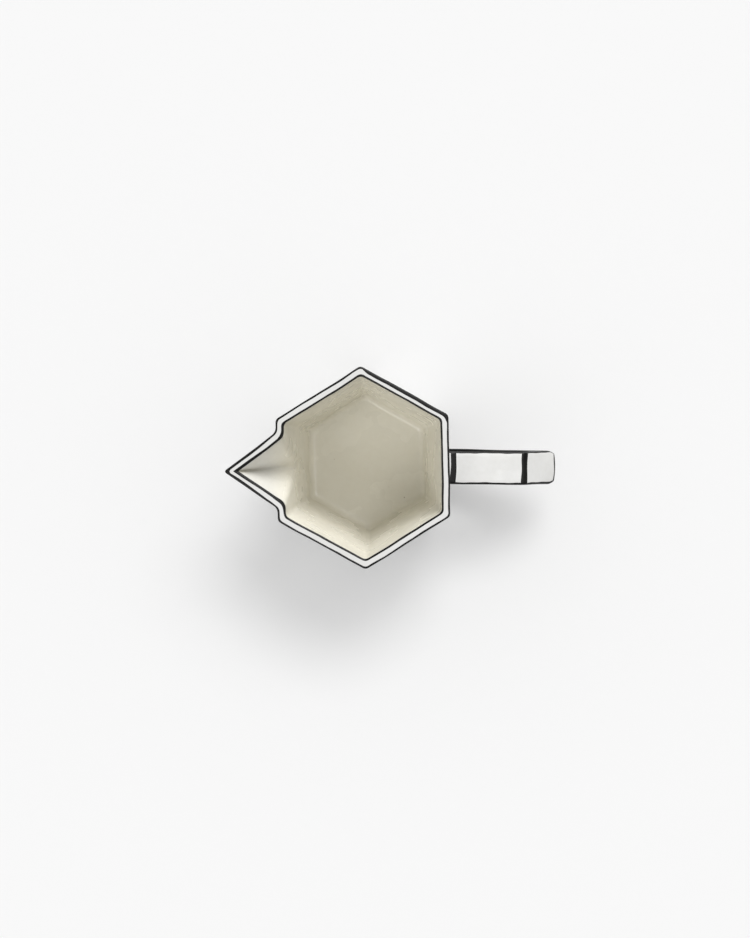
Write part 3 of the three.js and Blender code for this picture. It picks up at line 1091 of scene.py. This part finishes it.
for side_name, sign in (("right", 1), ("left", -1)):
    widths = outer_widths(side_name)
    stroke = strap_edge_stroke(1, sign, STRAP_START, STRAP_STOP, widths, 2.0 + sign)
    line(f"handle_outer_stroke_{side_name}", stroke, f"handle_outer_line_{side_name}")
    stroke = strap_edge_stroke(-1, sign, STRAP_START, STRAP_STOP, inner_widths, 5.0 + sign)
    line(f"handle_inner_stroke_{side_name}", stroke, f"handle_inner_line_{side_name}")

BAND_WIDTH = shoulder_high.x - shoulder_low.x
UPPER_ROOT_AT = upper_band_low.x - AXIS_X - strap_places[0][0]
LOWER_BAND_AWAY = 4.5  # from the wall to the band's far edge, along the strap
LOWER_ROOT_AT = STRAP_LENGTH - BURIED - LOWER_BAND_AWAY
BANDS = (  # name, first and last distance along the strap, seed
    ("upper_root", UPPER_ROOT_AT - 0.35, UPPER_ROOT_AT + BAND_WIDTH + 0.3, 1.0),
    ("shoulder", SHOULDER_AT - BAND_WIDTH - 0.6, SHOULDER_AT - 0.4, 2.0),
    ("elbow", ELBOW_AT - 1.3, ELBOW_AT + 0.4, 3.0),
    ("lower_root", LOWER_ROOT_AT, LOWER_ROOT_AT + BAND_WIDTH, 4.0),
)
for band, first, last, seed in BANDS:
    line(f"handle_{band}_stroke", strap_band(first, last, seed), f"handle_{band}_band")

# ---- floor, light and camera ----

FLOOR_REACH = 20.0


def studio_floor():
    mesh = bmesh.new()
    bmesh.ops.create_grid(mesh, x_segments=2, y_segments=2, size=FLOOR_REACH)
    data = bpy.data.meshes.new("studio_floor")
    mesh.to_mesh(data)
    mesh.free()
    material, nodes, links, shader = new_material("studio_floor")
    shader.inputs["Base Color"].default_value = (0.86, 0.86, 0.86, 1)
    shader.inputs["Roughness"].default_value = 0.9
    shader.inputs["Specular IOR Level"].default_value = 0.1
    data.materials.append(material)
    floor = bpy.data.objects.new("studio_floor", data)
    bpy.context.scene.collection.objects.link(floor)
    return floor


def distant_light(lit, name, direction, elevation, width, strength):
    """A soft light from far away, on the lit objects only.

    direction is in degrees round the axis from +X, elevation and width are in degrees.
    """
    light = bpy.data.lights.new(name, "SUN")
    light.energy = strength
    light.angle = math.radians(width)
    lamp = bpy.data.objects.new(name, light)
    level = math.cos(math.radians(elevation))
    towards = Vector((
        level * math.cos(math.radians(direction)), level * math.sin(math.radians(direction)),
        math.sin(math.radians(elevation)),
    ))
    lamp.rotation_mode = "QUATERNION"
    lamp.rotation_quaternion = towards.to_track_quat("Z", "Y")
    bpy.context.scene.collection.objects.link(lamp)
    receivers = bpy.data.collections.new(name)
    for lit_object in lit:
        receivers.objects.link(lit_object)
    lamp.light_linking.receiver_collection = receivers


def room_light(strength):
    world = bpy.data.worlds.new("soft_room")
    world.use_nodes = True
    world.node_tree.nodes["Background"].inputs["Color"].default_value = (1, 1, 1, 1)
    world.node_tree.nodes["Background"].inputs["Strength"].default_value = strength
    bpy.context.scene.world = world


CAMERA_HEIGHT = 1200.0  # over the rim
CAMERA_OFFSET = (30.2, 43.0)  # from the axis of the body
FRAME_WIDTH = 319.1  # what the picture shows from side to side, at the rim's level
LOOKS_AT = (5.1, -0.4)  # from the axis of the body, at the rim
PICTURE = (750, 938)  # its width and height
SENSOR = 36.0


def overhead_camera():
    camera = bpy.data.cameras.new("overhead_camera")
    camera.sensor_width = SENSOR
    camera.lens = SENSOR * CAMERA_HEIGHT / (FRAME_WIDTH * PICTURE[1] / PICTURE[0])
    camera.clip_start = 0.05
    camera.clip_end = FLOOR_REACH
    rig = bpy.data.objects.new("overhead_camera", camera)
    place = Vector((AXIS_X + CAMERA_OFFSET[0], CAMERA_OFFSET[1], RIM_Z + CAMERA_HEIGHT)) * MM
    target = Vector((AXIS_X + LOOKS_AT[0], LOOKS_AT[1], RIM_Z)) * MM
    back = (place - target).normalized()
    right = Vector((0, 1, 0)).cross(back).normalized()
    up = back.cross(right)
    rig.matrix_world = Matrix.Translation(place) @ Matrix((right, up, back)).transposed().to_4x4()
    bpy.context.scene.collection.objects.link(rig)
    bpy.context.scene.camera = rig


JUG_LIGHTS = (  # name, direction, elevation, width, strength
    ("window", 75, 40, 24, 2.0),
    ("low_window", 75, 22, 24, 1.2),
    ("far_wall", 222, 57, 24, 0.93),
    ("ceiling", 20, 72, 20, 0.47),
)
FLOOR_LIGHTS = (
    ("floor_key", 75, 57, 20, 0.8),
    ("floor_corner", 52, 50, 20, 0.3),
    ("floor_ceiling", 0, 90, 150, 1.61),
)

ROOM_STRENGTH = 0.3

floor = studio_floor()
for lit, lights in ((jug_pieces, JUG_LIGHTS), ([floor], FLOOR_LIGHTS)):
    for light in lights:
        distant_light(lit, *light)
room_light(ROOM_STRENGTH)
overhead_camera()
bpy.context.scene.view_settings.view_transform = "Standard"
